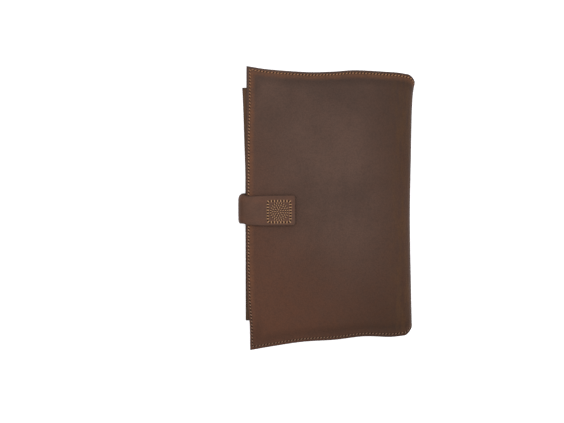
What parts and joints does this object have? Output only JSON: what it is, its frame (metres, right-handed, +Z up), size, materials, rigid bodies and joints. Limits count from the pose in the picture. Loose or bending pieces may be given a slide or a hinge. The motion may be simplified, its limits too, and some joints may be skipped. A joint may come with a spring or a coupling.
{
  "type": "passport holder",
  "caption": "Soft leather travel passport holder that folds round a spine, with an inner leaf and card pockets, held shut by a wrap-round strap.",
  "frame": {"origin": "middle of the footprint, on the resting plane under the back cover", "axes": "+Z up through the front cover, +Y along the spine towards the head, +X from the opening edge to the spine"},
  "size_m": [0.1362, 0.2241, 0.018],
  "materials": {
    "cover_leather": "waxed pull-up leather, matte",
    "strap_leather": "waxed pull-up leather, matte",
    "pocket_leather": "thin vegetable-tanned leather",
    "lining_suede": "flesh-side suede",
    "thread": "waxed polyester thread",
    "steel": "nickelled"
  },
  "bodies": {
    "back": {"back_cover": "cover_leather", "back_lining": "lining_suede", "back_seam_thread": "thread", "strap_anchor": "strap_leather", "strap_anchor_thread": "thread", "passport_pocket": "pocket_leather", "passport_pocket_thread": "thread"},
    "spine": {"spine_cover": "cover_leather", "spine_lining": "lining_suede", "spine_thread_head": "thread", "spine_thread_tail": "thread", "leaf_tongue": "pocket_leather"},
    "leaf": {"leaf_back_ply": "pocket_leather", "leaf_front_ply": "pocket_leather", "leaf_thread": "thread"},
    "front": {"front_cover": "cover_leather", "front_seam_thread": "thread", "keeper_disc": "steel", "front_lining": "lining_suede", "card_pocket_1": "pocket_leather", "card_pocket_2": "pocket_leather", "card_pocket_3": "pocket_leather", "card_pocket_4": "pocket_leather", "upper_card_thread": "thread", "lower_card_thread": "thread"},
    "strap_loop": {"strap_side": "strap_leather", "strap_side_lining": "lining_suede"},
    "strap_end": {"strap_tab": "strap_leather", "strap_tab_lining": "lining_suede", "strap_magnet": "steel", "strap_patch_thread": "thread", "strap_ring_thread": "thread"}
  },
  "joints": [
    {"name": "spine_fold", "type": "hinge", "parent": "back", "child": "spine", "pos_m": [0.06652, 0, 0.00158], "axis": [0, 1, 0], "range_deg": [0, 90]},
    {"name": "front_fold", "type": "hinge", "parent": "spine", "child": "front", "pos_m": [0.06652, 0, 0.01312], "axis": [0, 1, 0], "range_deg": [0, 90]},
    {"name": "leaf_fold", "type": "hinge", "parent": "spine", "child": "leaf", "pos_m": [0.05895, 0, 0.00915], "axis": [0, -1, 0], "range_deg": [0, 90]},
    {"name": "strap_root_bend", "type": "hinge", "parent": "back", "child": "strap_loop", "pos_m": [-0.06692, 0, 0.00328], "axis": [0, -1, 0], "range_deg": [0, 90]},
    {"name": "strap_tip_bend", "type": "hinge", "parent": "strap_loop", "child": "strap_end", "pos_m": [-0.06692, 0, 0.01622], "axis": [0, -1, 0], "range_deg": [0, 90]}
  ],
  "couplings": [
    {"joint": "leaf_fold", "follows": "spine_fold", "ratio": 1}
  ]
}
